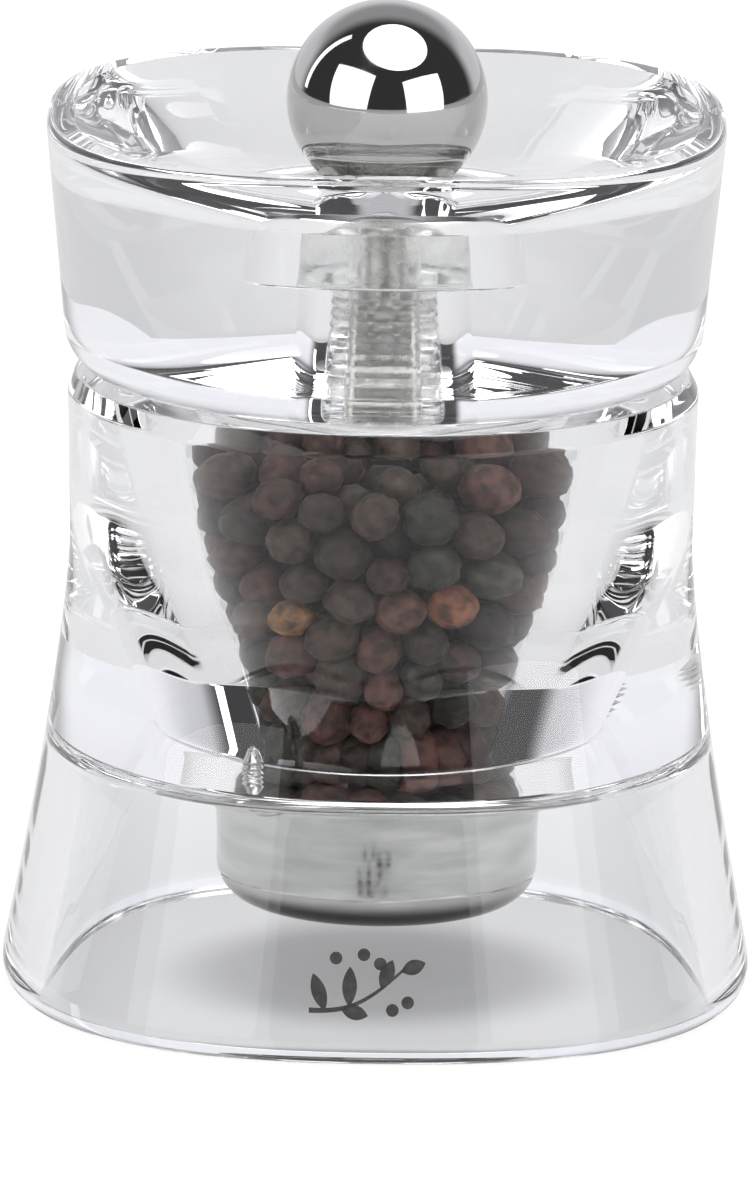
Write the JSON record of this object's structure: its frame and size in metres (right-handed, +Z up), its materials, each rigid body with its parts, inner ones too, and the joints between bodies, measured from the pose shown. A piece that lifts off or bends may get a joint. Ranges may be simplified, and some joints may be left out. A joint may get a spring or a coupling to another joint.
{
  "type": "pepper mill",
  "caption": "Compact clear acrylic pepper mill: flared rounded-square body, turning dished head with a steel ball knob, and a steel cup grinder hung in its hollow base.",
  "frame": {"origin": "centre of the base, on the surface the mill stands on", "axes": "+Z up along the grinding shaft, -Y towards the front"},
  "size_m": [0.0602, 0.0602, 0.08],
  "materials": {
    "clear_acrylic": "clear, polished",
    "translucent_plastic": "translucent, moulded",
    "polished_steel": "mirror polished stainless steel",
    "brushed_steel": "brushed round the axis",
    "spring_steel": "drawn wire",
    "hardened_steel": "case hardened, dark",
    "brass": "turned",
    "black_rubber": "matt",
    "black_plastic": "moulded",
    "silicone_seal": "pale silicone",
    "peppercorn": "dry wrinkled husk",
    "printed_mark": "thin dark print"
  },
  "bodies": {
    "mill_body": {"body": "clear_acrylic", "flange_seal": "silicone_seal", "grinder_housing": "brushed_steel", "flange_screw_1": "brushed_steel", "flange_screw_2": "brushed_steel", "bridge_plate": "brushed_steel", "stator_spacer": "brushed_steel", "bridge_circlip": "brushed_steel", "guide_bush": "black_plastic", "stator": "hardened_steel"},
    "turning_stack": {"thrust_washer": "brushed_steel", "spring": "spring_steel"},
    "spindle": {"shaft": "brushed_steel", "rotor": "hardened_steel", "rotor_washer": "brushed_steel", "rotor_nut": "brushed_steel"},
    "head": {"head": "clear_acrylic", "drive_insert": "translucent_plastic"},
    "knob_seat": {"knob_washer": "black_rubber"},
    "knob": {"knob": "polished_steel", "knob_bush": "brass"}
  },
  "joints": [
    {"name": "head_turn", "type": "hinge", "parent": "mill_body", "child": "turning_stack", "pos_m": [0, 0, 0.05], "axis": [0, 0, 1], "continuous": true},
    {"name": "grind_adjust", "type": "slide", "parent": "turning_stack", "child": "spindle", "axis": [0, 0, 1], "range_m": [0, 0.000875], "deforming": ["spring"]},
    {"name": "head_lift", "type": "slide", "parent": "turning_stack", "child": "head", "axis": [0, 0, 1], "range_m": [0, 0.022]},
    {"name": "knob_lift", "type": "slide", "parent": "head", "child": "knob_seat", "axis": [0, 0, 1], "range_m": [0, 0.012]},
    {"name": "knob_turn", "type": "hinge", "parent": "knob_seat", "child": "knob", "pos_m": [0, 0, 0.072], "axis": [0, 0, 1], "range_deg": [-450, 0]}
  ],
  "couplings": [
    {"joint": "knob_turn", "follows": "grind_adjust", "rad_per_m": -8976}
  ]
}
